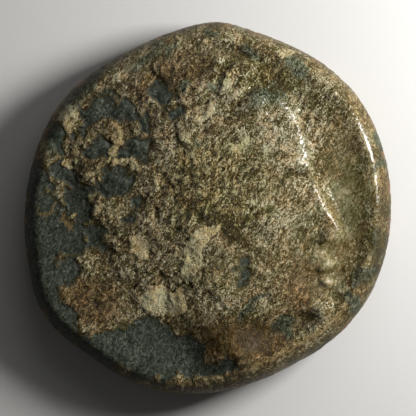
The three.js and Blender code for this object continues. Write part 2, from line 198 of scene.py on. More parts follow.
head = {
    "height": 13.2,
    "centre": (-0.12, 0.25),
    "tilt": 7,
    "profileStep": 0.4,
    "stepSpan": (-0.3, 0.7),  # where the step starts and ends, in shares of its reach
    "slopes": (0.5, 1.6),  # reach of the step, at the face and at the back of the head
    "throatSlope": 2.2,  # its least reach at the throat
    "profileDome": 0.42,
    "domeReach": 3.4,
    "hairStep": 0.28,
    "hairDome": 0.3,
    "hairReach": 2.4,
    "wearLevel": 0.85,
    "wearSoftness": 0.35,
    "worn": [  # place, half sizes, turn, share of the locks that is gone
        ((0.06, 0.08), (0.24, 0.24), 20, 0.65),
        ((-0.2, -0.2), (0.16, 0.2), 0, 0.6),
        ((-0.1, -0.4), (0.16, 0.12), 0, 0.9),
    ],
    "backWear": 0.6,  # share of the relief that is gone at the back of the head
    "rub": 0.085,
    "profile": [
        (0.16, 0.49), (0.345, 0.345), (0.395, 0.22), (0.41, 0.105), (0.412, 0.045),  # skull to bridge
        (0.445, -0.05), (0.492, -0.145), (0.462, -0.195),  # nose
        (0.425, -0.215), (0.446, -0.265), (0.424, -0.298), (0.438, -0.33),  # lips
        (0.412, -0.372), (0.432, -0.43), (0.385, -0.495),  # chin
        (0.25, -0.455), (0.19, -0.54), (0.21, -0.75), (-0.05, -0.75),  # throat and neck
        (-0.1, -0.55), (-0.19, -0.36), (-0.26, -0.22), (-0.34, -0.06), (-0.4, 0.12),  # nape and back
        (-0.36, 0.33), (-0.2, 0.46), (-0.02, 0.51),  # crown
    ],
    "hair": [
        (0.31, 0.4), (0.325, 0.31), (0.285, 0.215), (0.21, 0.14), (0.14, 0.05), (0.1, -0.05),  # temple
        (0.065, -0.13), (-0.02, -0.17), (-0.06, -0.24), (-0.12, -0.3), (-0.18, -0.36),  # ear to nape
        (-0.24, -0.38), (-0.33, -0.27), (-0.385, -0.12), (-0.42, 0.02), (-0.465, 0.18),  # back
        (-0.44, 0.36), (-0.27, 0.51), (0, 0.565), (0.18, 0.53), (0.28, 0.47),  # over the crown
    ],
    "masses": [  # place, size, turn, rise in millimetres
        ((0.2, 0.12), (0.16, 0.16), 0, 0.06),  # temple
        ((0.235, -0.13), (0.105, 0.08), -18, 0.13),  # cheekbone
        ((0.1, -0.24), (0.13, 0.1), 0, 0.07),  # cheek
        ((0.06, -0.485), (0.2, 0.055), 14, -0.08),  # hollow under the jaw
        ((0.325, -0.3), (0.045, 0.07), 20, -0.1),  # corner of the mouth
        ((0.335, 0.035), (0.062, 0.048), -12, -0.28),  # eye socket
        ((0.333, 0.022), (0.036, 0.026), -6, 0.24),  # eye
        ((0.456, -0.155), (0.028, 0.026), 0, 0.14),  # tip of the nose
        ((0.422, -0.172), (0.024, 0.02), 20, 0.2),  # wing of the nose
        ((0.395, -0.16), (0.011, 0.03), -20, -0.12),  # fold behind it
        ((0.393, -0.432), (0.044, 0.042), 0, 0.24),  # chin
        ((0.392, -0.375), (0.032, 0.014), 0, -0.14),  # fold above it
    ],
    "ridges": [  # points, width, rise in millimetres
        ([(0.235, 0.075), (0.29, 0.106), (0.35, 0.106), (0.4, 0.078)], 0.027, 0.18),  # brow
        ([(0.402, 0.08), (0.418, 0), (0.442, -0.075), (0.462, -0.14)], 0.036, 0.2),  # nose
        ([(0.372, -0.292), (0.4, -0.27), (0.434, -0.262)], 0.021, 0.22),  # upper lip
        ([(0.376, -0.306), (0.404, -0.328), (0.428, -0.332)], 0.021, 0.22),  # lower lip
        ([(0.37, -0.485), (0.24, -0.445), (0.11, -0.385), (0.03, -0.3), (0, -0.2)], 0.05, 0.1),  # jaw
        ([(-0.08, -0.31), (0, -0.43), (0.08, -0.56), (0.13, -0.7)], 0.065, 0.08),  # neck muscle
        ([(0.272, 0.018), (0.305, 0.045), (0.345, 0.048), (0.376, 0.022)], 0.014, 0.15),  # upper lid
        ([(0.285, 0.008), (0.315, -0.008), (0.345, -0.006), (0.368, 0.01)], 0.012, 0.1),  # lower lid
        ([(0.362, -0.3), (0.395, -0.3), (0.435, -0.296)], 0.012, -0.18),  # between the lips
    ],
    "ear": ([(0.035, -0.105), (0.03, -0.06), (0, -0.015), (-0.045, -0.01), (-0.07, -0.05),
             (-0.05, -0.11), (0.01, -0.175)], 0.026, 0.09),
    "earHollow": ((-0.018, -0.085), (0.06, 0.085), 10),
}

# Its locks stand in arcs round a point above the ear

locks = {
    "arcs": [(0.1, 40, 190), (0.185, 25, 215), (0.27, 33, 228), (0.355, 40, 234), (0.44, 46, 230),
             (0.52, 56, 216)],  # radius, first and last degree
    "focus": (-0.035, 0),
    "rise": 0.3,
    "pitch": 0.098,
    "length": 0.19,
    "width": 0.055,
    "curls": (80, -70),
    "sway": 15,
    "drift": 0.05,
    "lean": (18, 60),
    "strandRise": 0.035,
    "strands": 3.6,
}


def lockPlaces(hairCurve):
    for row, (radius, start, end) in enumerate(locks["arcs"]):
        count = max(2, round(math.radians(end - start) * radius / locks["pitch"]))
        for i in range(count):
            degrees = start + (end - start) * (i + 0.5 + 0.25 * (row % 2)) / count
            reach = radius * (1 + locks["drift"] * math.sin(3.1 * i + row))
            x = locks["focus"][0] + reach * math.cos(math.radians(degrees))
            y = locks["focus"][1] + reach * math.sin(math.radians(degrees))
            at = np.array([x]), np.array([y])
            overEar = massAt(*at, *head["earHollow"])[0] > math.exp(-1.5)
            if overEar or depthInside(hairCurve, *at)[0] < -0.005:
                continue
            lean = mix(*locks["lean"], smooth(90, 190, degrees))
            # heading, length, width and curl differ a little from lock to lock
            yield {
                "at": (x, y),
                "heading": degrees - lean + locks["sway"] * math.sin(2.3 * i + 1.7 * row),
                "length": locks["length"] * (0.9 + 0.2 * math.sin(1.9 * i + row)),
                "width": locks["width"] * (0.95 + 0.15 * math.cos(2.7 * i + row)),
                "curl": locks["curls"][0 if (row + 2 * i) % 5 > 1 else 1],
            }


def lockAt(lock, u, v):
    # height of one lock from 0 to 1, with the fine strands along it
    c, s = math.cos(math.radians(lock["heading"])), math.sin(math.radians(lock["heading"]))
    forward = (u - lock["at"][0]) * c + (v - lock["at"][1]) * s
    side = -(u - lock["at"][0]) * s + (v - lock["at"][1]) * c
    bend = lock["length"] / math.radians(lock["curl"])
    way = math.copysign(1, bend)
    along = np.arctan2(forward, way * (bend - side)) * abs(bend) / lock["length"] + 0.5
    within = (along > 0) & (along < 1)
    along = np.clip(along, 0, 1)
    across = bend - way * np.hypot(forward, bend - side)
    halfWidth = lock["width"] * 1.9 * np.sqrt(along + 0.02) * (1 - along) ** 0.6 + 1e-6
    body = np.clip(1 - (across / halfWidth) ** 2, 0, 1) ** 0.6
    height = body * (0.75 + 0.25 * np.sin(math.pi * along)) * within
    strands = np.cos(across / halfWidth * locks["strands"] * math.pi)
    return height, strands * smooth(0, 0.15, along) * smooth(1, 0.7, along)


def hairLocks(hairCurve, u, v):
    tops, strands = np.zeros(u.shape), np.zeros(u.shape)
    for lock in lockPlaces(hairCurve):
        reach = lock["length"]
        near = (abs(u - lock["at"][0]) < reach) & (abs(v - lock["at"][1]) < reach)
        height, lines = lockAt(lock, u[near], v[near])
        higher = height > tops[near]
        tops[near] = np.where(higher, height, tops[near])
        strands[near] = np.where(higher, lines, strands[near])
    return tops, strands * (tops > 0.2)


def rounded(depth, reach):
    return 1 - (1 - np.clip(depth / reach, 0, 1)) ** 2


def headHeights(x, y):
    c, s = math.cos(math.radians(head["tilt"])), math.sin(math.radians(head["tilt"]))
    dx, dy = x - head["centre"][0], y - head["centre"][1]
    u, v = (dx * c + dy * s) / head["height"], (-dx * s + dy * c) / head["height"]
    hairCurve = curveThrough(head["hair"], closed=True)
    skin = depthInside(curveThrough(head["profile"], closed=True), u, v) * head["height"]
    hair = depthInside(hairCurve, u, v) * head["height"]

    slope = mix(*head["slopes"], smooth(0.15, -0.15, u))
    slope = np.maximum(slope, head["throatSlope"] * smooth(-0.36, -0.46, v))
    base = head["profileStep"] * smooth(*head["stepSpan"], skin / slope)
    base += head["profileDome"] * rounded(skin, head["domeReach"])
    face = base.copy()
    for at, size, turn, rise in head["masses"]:
        face += rise * massAt(u, v, at, size, turn)
    for through, width, rise in head["ridges"]:
        face += rise * ridgeAt(u, v, through, width)

    cap = head["hairStep"] * smooth(*head["stepSpan"], hair / slope)
    cap += head["hairDome"] * rounded(hair, head["hairReach"])
    cover = smooth(-0.05, 0.3, hair) * (1 - massAt(u, v, *head["earHollow"], power=4))
    relief = mix(face, np.maximum(base, cap), cover)
    tops, strands = hairLocks(hairCurve, u, v)
    left = smooth(-0.2, 0.9, hair)
    for at, size, turn, share in head["worn"]:
        left *= 1 - share * massAt(u, v, at, size, turn, 3)
    hairRelief = left * (locks["rise"] * tops + locks["strandRise"] * strands)
    through, width, rise = head["ear"]
    relief += hairRelief + rise * ridgeAt(u, v, through, width)
    relief = rubbed(relief, head["rub"])
    over = np.maximum(relief - head["wearLevel"], 0)
    worn = head["wearLevel"] + head["wearSoftness"] * (1 - np.exp(-over / head["wearSoftness"]))
    sunk = 1 - head["backWear"] * smooth(0.05, -0.3, u)
    return np.maximum(np.where(over > 0, worn, relief), 0) * sunk


def obverseHeights():
    lipRise = blank["lipRise"] + swellsAt(blank["lipSwells"], sheetDegrees)
    outer, inner = blank["lipWidths"]
    width = np.where(sheetInset < blank["lipInset"], outer, inner)
    lip = lipRise * np.exp(-(abs(sheetInset - blank["lipInset"]) / width) ** 1.5)
    struck = headHeights(sheetX, sheetY)
    field = blank["reverseRecess"] + blank["bodyThickness"]
    return field + lip + struck * smooth(*blank["reliefFade"], sheetInset)


# The reverse, seen from below: a tripod between two columns of shallow strokes

reverse = {
    "lip": (1.15, 0.55, 0.46),  # inset, width, rise
    "height": 9.4,
    "footSpread": 0.36,
    "footLength": 0.05,
    "shoulder": 0.235,
    "legHalfWidth": 0.046,
    "bowlHalfWidth": 0.29,
    "bowlDepth": 0.19,
    "rimHalfWidth": 0.038,
    "handleRadius": 0.075,
    "handlePitch": 0.215,
    "handleHalfWidth": 0.028,
    "strutLevel": 0.6,
    "strutHalfWidth": 0.026,
    "rise": 0.46,
    "flank": 0.22,
    "strokeCount": 6,
    "strokePitch": 1.2,
    "strokeLength": 0.9,
    "strokeHalfWidth": 0.28,
    "strokeRise": 0.2,
    "strokeClearance": 0.12,
    "rub": 0.085,
}


def tripodHeights(s, t):
    share = {name: value * reverse["height"] for name, value in reverse.items() if name != "lip"}
    rim = reverse["height"] / 2 - 2 * share["handleRadius"] - share["handleHalfWidth"]
    sole = -reverse["height"] / 2 + share["legHalfWidth"]
    strut = mix(rim, sole, reverse["strutLevel"])
    strutReach = mix(share["shoulder"], share["footSpread"], reverse["strutLevel"])
    bowl = share["bowlHalfWidth"]
    bars = [
        ([(-bowl, rim), (bowl, rim)], share["rimHalfWidth"]),
        ([(-strutReach, strut), (strutReach, strut)], share["strutHalfWidth"]),
    ]
    top = np.zeros(s.shape)

    def raiseTo(distance, halfWidth):
        np.maximum(top, 1 - smooth(halfWidth, halfWidth + reverse["flank"], distance), out=top)

    for side in (-1, 0, 1):
        foot = side * share["footSpread"]
        toe = share["footLength"]
        bars.append(([(side * share["shoulder"], rim), (foot, sole)], share["legHalfWidth"]))
        bars.append(([(foot - toe, sole), (foot + toe, sole)], share["legHalfWidth"]))
        handle = np.hypot(s - side * share["handlePitch"], t - rim - share["handleRadius"])
        raiseTo(abs(handle - share["handleRadius"]), share["handleHalfWidth"])
    for line, halfWidth in bars:
        raiseTo(nearestOn(np.array(line), s, t)[0], halfWidth)
    below = rim - t
    inBowl = np.where(below >= 0, np.hypot(s / bowl, below / share["bowlDepth"]), np.inf)
    np.maximum(top, 1 - smooth(0.88, 1.04, inBowl), out=top)
    return reverse["rise"] * top


def strokeHeights(s, t):
    inset, width, _ = reverse["lip"]
    fieldRadius = blank["radius"] - inset - width
    last = (reverse["strokeCount"] - 1) / 2
    tallest = last * reverse["strokePitch"] + reverse["strokeHalfWidth"]
    outerEnd = math.sqrt(fieldRadius**2 - tallest**2) - reverse["strokeClearance"]
    column = outerEnd - reverse["strokeLength"] / 2
    row = np.clip(np.round(t / reverse["strokePitch"] + last), 0, 2 * last) - last
    beyond = np.maximum(0, abs(abs(s) - column) - reverse["strokeLength"] / 2)
    away = np.hypot(beyond, t - row * reverse["strokePitch"])
    return reverse["strokeRise"] * np.clip(1 - (away / reverse["strokeHalfWidth"]) ** 2, 0, 1)


def reverseHeights():
    inset, width, rise = reverse["lip"]
    ring = rise * np.exp(-((sheetInset - inset) / width) ** 4)
    relief = np.maximum(tripodHeights(-sheetX, sheetY), strokeHeights(-sheetX, sheetY))
    relief = rubbed(np.maximum(relief, ring), reverse["rub"])
    return np.maximum(0, blank["reverseRecess"] - relief)


# Where the crust has come away and the smooth blue-grey patina shows

flaking = {
    "edge": 0.13,  # half width of the slope at a patch's border
    "wander": 0.22,  # how far the border strays
    "wanderSize": 0.7,
    "fray": 0.2,  # the same at a finer size
    "fraySize": 0.42,
    "ridgeDepth": -0.3,  # a raised line of crust keeps the patina covered this far
    "patches": [  # place, half sizes, turn
        ((-7.7, -0.9), (1.1, 2.1), 0), ((-6.9, -1.2), (1.4, 1.1), 0), ((-7.8, -3.4), (0.9, 1.7), 8),
        ((-5.3, -1.1), (0.8, 0.5), 0), ((-6.9, -5.2), (0.6, 1.5), 42), ((-5.2, -6.8), (0.5, 1.2), 55),
        ((-6.1, 0.4), (0.75, 0.95), 0), ((-4.3, 1.3), (0.92, 0.68), -10),
        ((-3.4, 2.85), (0.74, 0.58), 20), ((-5.15, 2.95), (0.66, 0.6), 0), ((-4.1, 4.65), (0.7, 0.62), 0),
        ((-2.9, 4.2), (0.36, 0.5), -20), ((-1.6, 4.6), (0.38, 0.28), 0), ((-2.1, 5.5), (0.46, 0.3), 0),
        ((-5.1, 4.85), (1.1, 0.42), 38), ((-6.9, 1.75), (0.7, 0.6), 0), ((-7.15, 3.4), (0.4, 0.65), -30),
        ((-8, 1.2), (0.5, 1.2), -10), ((-3.3, 0.3), (0.34, 0.3), 0), ((-3.5, -0.4), (0.3, 0.24), 0),
        ((-4.8, -1.7), (0.33, 0.27), 0), ((-6.65, -3), (0.75, 0.7), 0), ((-2.7, -6.6), (2.3, 1.45), -8),
        ((-4.3, -6.5), (1.1, 0.9), 35), ((-1.1, -6.8), (1, 1.1), 30), ((0.4, -7.4), (0.9, 0.38), 10),
        ((1.7, -3), (0.28, 0.5), 0), ((-5.6, 4.45), (1.15, 0.34), 60),
    ],
}

crust = {
    "thickness": 0.035,
    "lumpSize": 0.8,
    "lumpRise": 0.032,
    "knobSize": 0.32,
    "knobRise": 0.024,
    "topWearAbove": 3.7,
    "topWear": 0.6,  # share that handling has taken of whatever stood above that height
    "borderRise": 0.012,
    "borderAt": 0.14,  # outside a patch
    "borderWidth": 0.12,
    "borderPale": 0.28,
    "wander": 0.27,  # how far the raised lines and hollows stray
    "wanderSize": 0.6,
    "polish": 0.75,
    "polishSmooths": 0.3,  # shares of the roughness that polish, shine and raised lines take away
    "shineSmooths": 0.4,
    "ridgeSmooths": 0.2,
    "ridgeLeft": 0.6,  # share of a raised line's rise that stays over bare patina
    "convexSpan": 0.3,
    "hollowSpan": 0.2,
    "hollowDepth": 0.1,
    "patinaRub": 0.28,
    "bareLocks": ((-4.1, 3.2), (3.1, 3.6), 20),  # where patches of patina lie on swollen locks
    "bareLockRise": 0.09,
    "handled": ((5.2, 1.5), (4, 7), 0),  # where high points are rubbed bright
    "smoothPlaces": [  # place, half sizes, turn, share of the roughness that goes
        ((6.7, 1), (1.4, 3.6), 5, 0.85), ((5.8, -2.6), (1.2, 2), -20, 0.7),
        ((1.7, -6.2), (2.2, 1.2), 8, 0.8), ((4.3, -3.4), (1.5, 2.2), 0, 0.5),
        ((3.9, 0.2), (1.9, 2.6), 0, 0.4), ((1.6, -2.6), (1.5, 1.6), 0, 0.4),
        ((-5.2, -4.4), (1.6, 1.4), 0, 0.5), ((-1.4, 6.6), (1.6, 0.8), 10, 0.4),
        ((4, 6.2), (1.2, 0.8), -30, 0.4), ((-0.6, -5.4), (1.4, 1.3), 0, 0.6),
    ],
    "ridges": [  # pale raised lines of crust: points, width, rise
        ([(-4.8, 4.1), (-4.3, 3.6), (-4.4, 2.9), (-4.7, 2.2)], 0.36, 0.045),
        ([(-4.5, 2.2), (-3.8, 2.15), (-3.1, 1.9)], 0.3, 0.025),
        ([(-5.45, 1), (-5.15, 0.2), (-5.4, -0.3)], 0.32, 0.045),
        ([(-1.3, 4), (-0.7, 3)], 0.28, 0.05),
        ([(-6.2, 3.2), (-6.6, 2)], 0.34, 0.045),
        ([(-6.1, 5), (-6.4, 4.4), (-6.8, 3.9)], 0.6, 0.035),
        ([(-5.6, 2), (-5.3, 1.6)], 0.42, 0.05),
        ([(1.35, 6.9), (1.1, 6.1), (0.75, 5.4)], 0.28, 0.07),
        ([(0.2, 5.25), (-0.1, 4.5), (-0.5, 3.85)], 0.28, 0.07),
        ([(1.85, 3.5), (1.3, 2.8)], 0.26, 0.05),
        ([(-2.35, 1.55), (-2.75, 0.9)], 0.28, 0.05),
        ([(-1.15, 5.7), (-0.85, 5.6)], 0.34, 0.05),
        ([(3.2, 7.7), (4, 7.3)], 0.36, 0.05),
        ([(-6.7, -0.2), (-6.5, -0.5)], 0.3, 0.04),
    ],
    "flakes": [  # broad pale scales that stray less: points, width, rise
        ([(0.8, -0.7), (-0.1, -1.1), (-0.6, -1.75), (-0.75, -2.6), (-1.5, -3.35)], 0.5, 0.04),
        ([(-3.4, -4.05), (-2.4, -4.3), (-1.6, -4.45), (-0.7, -4.7)], 0.62, 0.03),
        ([(-2.2, -4.4), (-2.05, -3.4)], 0.36, 0.03),
        ([(-3.6, -1.1), (-3.15, -1.8), (-2.8, -2.5)], 0.42, 0.04),
    ],
    "kinds": {"ridges": (1, 0.6), "flakes": (0.4, 1)},  # how far each strays, and how pale it is
    "scratches": [  # thin raised lines: points, width, rise
        ([(6.5, 1.75), (6.95, 1.95), (7.4, 1.7), (7.45, 1.1), (7, 0.5)], 0.1, 0.025),
        ([(4.7, 4.8), (5.3, 3.2)], 0.12, 0.03),
    ],
    "hollows": [  # place, half sizes, turn, depth
        ((-5.55, -4.5), (0.42, 0.32), 20, 0.12), ((-3.3, -3.5), (0.5, 0.3), -30, 0.08),
        ((0.5, 0.2), (0.4, 0.3), 40, 0.08), ((-2.1, 1), (0.3, 0.5), -30, 0.08),
    ],
    "crestShine": [(14, 1.1, 24)],  # along the lip's crest: degrees, strength, spread
    "crestGold": [(-70, 1, 20), (-48, 0.8, 12), (-30, 0.6, 14)],
    "crestWidth": 0.13,
    "shineInset": 0.66,
    "shineWidth": 0.22,
    "rimRoughness": 0.6,
}

# patches of colour, mostly real stains; the dark ones partly paint shade and the dust ones partly paint
# highlight
stainsAndPaintedLight = {  # soft patches of colour: place, half sizes, turn, strength
    "brown": [
        ((1.7, -6.2), (2.4, 1.5), 8, 1), ((-5.4, -4.4), (1.7, 1.5), 0, 0.9),
        ((4.4, -3.9), (1.5, 1.7), 0, 0.7), ((-1.6, 6.4), (2.6, 1.3), 15, 0.7),
        ((-3, -1.5), (1.6, 1), 0, 0.4), ((6.5, 3), (0.8, 1.2), 0, 0.5), ((-4.6, 3.4), (2.6, 2.4), 0, 0.5),
        ((-0.4, -5.6), (1.4, 1.1), 0, 0.55),
    ],
    "olive": [
        ((0.4, 1.2), (2.9, 2.6), 20, 1), ((-0.4, -3), (2.2, 1.6), 0, 0.5),
        ((3.2, -6.5), (2, 0.9), 25, 0.5),
    ],
    "grey": [
        ((6.9, 0.8), (1, 2.8), 5, 0.9), ((4.8, -1.5), (1, 1.7), 10, 0.6),
        ((4.4, 5.6), (1.6, 1), -30, 0.5), ((5.7, -3.6), (1.1, 1.6), 0, 0.35),
    ],
    # pale dust, partly real and partly painted highlight: the patches over the forehead, the cheek, the chin
    # and the right-hand field are lighter where the light falls
    "dust": [
        ((3.9, 3.7), (1.6, 2.2), -12, 1.3), ((3, -0.6), (1.6, 1.1), 0, 1),
        ((2.4, 1.2), (1.2, 0.9), 0, 0.5), ((4.6, 5.4), (1.3, 0.9), -30, 0.5),
        ((5.6, -3.6), (0.9, 1.8), -10, 1), ((-2, -4.1), (1.1, 0.5), 8, 0.8),
        ((-0.4, -1.8), (0.7, 1.5), -25, 0.6), ((0.8, 5.8), (0.6, 1.3), -10, 0.5),
        ((-3.2, -1.7), (0.7, 0.5), 0, 0.5), ((6.7, 0.6), (1, 2.8), 5, 0.7),
        ((5.6, -5.6), (1.3, 0.6), 45, 0.7), ((-0.4, -5.5), (1.4, 0.7), 0, 0.9),
    ],
    # darker patches, partly the crust's own colour and partly painted shade: the one over the left half and
    # the one along the upper-left edge darken what lies away from the light
    "dark": [
        ((0.9, -0.7), (1.5, 0.36), -42, 1.1), ((2.4, -0.2), (0.9, 0.28), 29, 1),
        ((-0.9, 0.2), (1.3, 0.5), -30, 0.45), ((3, 6.2), (2, 0.9), -20, 0.6),
        ((0.9, 7), (1.9, 0.7), 0, 0.6), ((-1.6, -0.9), (0.8, 0.5), 0, 0.35),
        ((5.4, 4.9), (1, 0.8), -40, 0.4), ((6.8, -3.9), (0.9, 1.2), -30, 0.3),
        ((-5.2, 0.6), (2.4, 4.6), 0, 0.36), ((8.5, 0.2), (0.45, 5), 0, 0.4),
        ((8.3, -2), (0.6, 1.4), -12, 1), ((6, -6), (1.8, 0.5), 45, 0.6), ((1, -8.2), (2.4, 0.5), 5, 0.4),
        ((-5.4, 6.2), (1.8, 0.5), 48, 0.5), ((1.8, -6.2), (1.7, 1), 8, 0.3),
    ],
    "gold": [
        ((8.35, 1.4), (0.42, 0.9), -4, 1), ((7.4, 4.6), (0.5, 1.7), 30, 0.6),
        ((8.4, -0.9), (0.3, 0.5), 0, 0.6), ((6.4, -5.2), (0.8, 0.2), 50, 0.8),
        ((-1, -8.3), (2, 0.25), -10, 0.8), ((4, 7.5), (1.3, 0.4), -25, 0.6),
        ((-6.5, -0.4), (0.35, 0.3), 0, 1), ((-7.6, 0.1), (0.55, 0.12), -15, 0.9),
        ((-7.35, 0), (0.12, 0.5), -35, 0.9), ((-6.9, -2.2), (0.3, 0.2), 0, 0.6),
        ((-6.6, -4.1), (0.3, 0.5), 40, 0.7),
    ],
    "teal": [
        ((-7.2, 3.4), (0.4, 0.9), -30, 1), ((-5.6, 5.9), (1.8, 0.35), 48, 0.8),
        ((-2.7, 7.4), (1.6, 0.3), 22, 0.8), ((0.2, 8.25), (0.7, 0.28), 0, 1),
        ((-1.6, 7.5), (0.3, 0.45), 15, 0.8), ((1.9, 7.5), (0.6, 0.4), -10, 0.9),
        ((4.3, 6.7), (0.9, 0.4), -20, 0.9), ((3, 5.3), (1, 0.6), 20, 0.9),
        ((6.9, -4.3), (0.5, 0.4), 0, 1), ((8.2, 2.7), (0.3, 0.9), 0, 0.9),
        ((8, -1.3), (0.45, 1), -4, 0.7), ((7.6, -3.1), (0.4, 1), -20, 0.8),
        ((0.2, 5.7), (0.35, 0.4), 0, 0.8), ((-1.3, 5.85), (0.5, 0.25), 0, 0.9),
        ((2.2, 2.8), (0.5, 0.4), 0, 0.6), ((3.65, -5.45), (0.62, 0.48), 25, 1.3),
        ((2.3, -4.5), (0.2, 1.3), -38, 1.1), ((-0.4, 3.1), (0.3, 0.3), 0, 0.6),
        ((1.3, -7.6), (0.4, 0.3), 0, 0.7),
    ],
}


# how far each kind of patch covers the coin, painted shade and painted highlight among them
def stainAndPaintedLightShare(name, seed):
    wander, wanderSize = 0.35, 0.9
    x = sheetX + wander * mottle(wanderSize, seed)
    y = sheetY + wander * mottle(wanderSize, seed + 1)
    share = np.zeros(sheetX.shape)
    for at, size, turn, strength in stainsAndPaintedLight[name]:
        share = np.maximum(share, strength * massAt(x, y, at, size, turn, 3))
    return share


def patinaDepth(ridges):
    # millimetres inside the patches where the patina shows, below 0 under the crust
    x = sheetX + flaking["wander"] * mottle(flaking["wanderSize"], 11)
    y = sheetY + flaking["wander"] * mottle(flaking["wanderSize"], 12)
    depth = np.full(sheetX.shape, -9.0)  # far outside any patch
    for at, size, turn in flaking["patches"]:
        c, s = math.cos(math.radians(turn)), math.sin(math.radians(turn))
        across = ((x - at[0]) * c + (y - at[1]) * s) / size[0]
        up = (-(x - at[0]) * s + (y - at[1]) * c) / size[1]
        depth = np.maximum(depth, (1 - np.hypot(across, up)) * min(size))
    depth += flaking["fray"] * mottle(flaking["fraySize"], 13, 4)
    return mix(depth, np.minimum(depth, flaking["ridgeDepth"]), smooth(0.2, 0.5, ridges))


def hollowness(height, most):
    # up to most in hollows, down to -1 on high points; the finish darkens by it, partly as the crust's own
    # colour and partly as painted shade
    return np.clip((rubbed(height, crust["hollowSpan"]) - height) / crust["hollowDepth"], -1, most)


def weather(height):
    # lays the crust on the struck relief, and gives the masks that the finish reads
    convex = height - rubbed(height, crust["convexSpan"])
    x = sheetX + crust["wander"] * mottle(crust["wanderSize"], 21, 4)
    y = sheetY + crust["wander"] * mottle(crust["wanderSize"], 22, 4)
    ridges = np.zeros(sheetX.shape)
    ridgeRise = np.zeros(sheetX.shape)
    pale = np.zeros(sheetX.shape)
    for kind, (stray, paleness) in crust["kinds"].items():
        for through, width, rise in crust[kind]:
            ridge = ridgeAt(mix(sheetX, x, stray), mix(sheetY, y, stray), through, width)
            ridges = np.maximum(ridges, ridge)
            pale = np.maximum(pale, paleness * smooth(0, 0.7, ridge))
            ridgeRise = np.maximum(ridgeRise, rise * smooth(0, 1, ridge))
    depth = patinaDepth(ridges)
    cover = 1 - smooth(-flaking["edge"], flaking["edge"], depth)
    crest = np.exp(-((sheetInset - blank["lipInset"]) / crust["crestWidth"]) ** 2)
    handled = massAt(sheetX, sheetY, *crust["handled"], power=3)
    polish = crust["polish"] * smooth(0.02, 0.07, convex) * handled
    crestShine = np.exp(-((sheetInset - crust["shineInset"]) / crust["shineWidth"]) ** 2)
    crestShine *= swellsAt(crust["crestShine"], sheetDegrees) * smooth(-0.9, 0.3, mottle(0.8, 24))
    rough = (1 - crust["polishSmooths"] * polish) * (1 - crust["shineSmooths"] * crestShine)
    rough *= mix(crust["rimRoughness"], 1, smooth(0.4, 1, sheetInset))
    polish = np.maximum(polish, crestShine)
    for at, size, turn, share in crust["smoothPlaces"]:
        rough *= 1 - share * massAt(sheetX, sheetY, at, size, turn, 3)
    rough *= 1 - crust["ridgeSmooths"] * smooth(0, 0.7, ridges)
    for through, width, rise in crust["scratches"]:
        ridgeRise = ridgeRise + rise * ridgeAt(sheetX, sheetY, through, width)
    border = np.exp(-((depth + crust["borderAt"]) / crust["borderWidth"]) ** 2) * cover
    lumps = mottle(crust["lumpSize"], 31)
    knobs = 1 - 2 * abs(mottle(crust["knobSize"], 32, 2))
    rise = crust["thickness"] + rough * (crust["lumpRise"] * lumps + crust["knobRise"] * knobs)
    rise += crust["borderRise"] * border
    height = mix(height, rubbed(height, crust["patinaRub"]), smooth(-0.35, 0.1, depth))
    bareLocks = crust["bareLockRise"] * massAt(sheetX, sheetY, *crust["bareLocks"], power=4)
    height = height + bareLocks * smooth(0, 0.5, depth)
    height = height + smooth(0.1, -0.45, depth) * rise + ridgeRise * np.maximum(cover, crust["ridgeLeft"])
    for at, size, turn, drop in crust["hollows"]:
        height = height - drop * massAt(x, y, at, size, turn)
    height = height - crust["topWear"] * np.maximum(height - crust["topWearAbove"], 0)
    masks = {
        "patina": np.clip(0.5 + depth, 0, 1),
        "pale": np.clip(pale + crust["borderPale"] * border, 0, 1),
        "rough": rough * cover,
        "polish": polish,
        "hollow": hollowness(height, 0.6),
        "copper": smooth(0.3, 0.05, sheetInset) * smooth(0, 0.9, mottle(0.5, 51, 4)),
    }
    for seed, name in enumerate(stainsAndPaintedLight):
        masks[name] = stainAndPaintedLightShare(name, 60 + 2 * seed)
    masks["gold"] = np.maximum(masks["gold"], crest * swellsAt(crust["crestGold"], sheetDegrees))
    return height, masks


underside = {
    "patinaSize": 2.4,
    "patinaLevel": 0.35,
    "roughness": 0.6,
    "lumpShare": 0.5,
    "stainsAndPaintedLight": {  # size of the blotches, seed, and where each begins and is whole
        "brown": (3, 83, -0.2, 0.8),
        "olive": (2.6, 84, 0, 0.9),
        "dust": (1.5, 85, 0.3, 0.9),
    },
}


def weatherUnder(height):
    # the hidden side gets the same materials in large plain blotches
    blotches = mottle(underside["patinaSize"], 81, 4)
    rise = crust["lumpRise"] * mottle(crust["lumpSize"], 82)
    masks = {
        "patina": np.clip(0.5 + 0.5 * (blotches - underside["patinaLevel"]), 0, 1),
        "rough": np.full(height.shape, underside["roughness"]),
        "hollow": hollowness(height, 1),
    }
    for name, (size, seed, low, high) in underside["stainsAndPaintedLight"].items():
        masks[name] = smooth(low, high, mottle(size, seed))
    masks["copper"] = smooth(0.5, 0.1, sheetInset) * smooth(-0.2, 0.6, mottle(1.2, 86))
    return np.maximum(height + underside["lumpShare"] * rise, 0), masks


# The coin's skin: rings of points from the middle of the obverse round the edge to the reverse

shell = {"obverseRings": 148, "edgeRings": 14, "reverseRings": 74}


def faceRing(k, rings, bevel, heights):
    count = max(1, 6 * k)
    degrees = 360 * np.arange(count) / count
    reach = (blankReach(degrees) - bevel) * k / rings
    x, y = reach * np.cos(np.radians(degrees)), reach * np.sin(np.radians(degrees))
    return np.column_stack([x, y, readSheet(heights, x, y)])


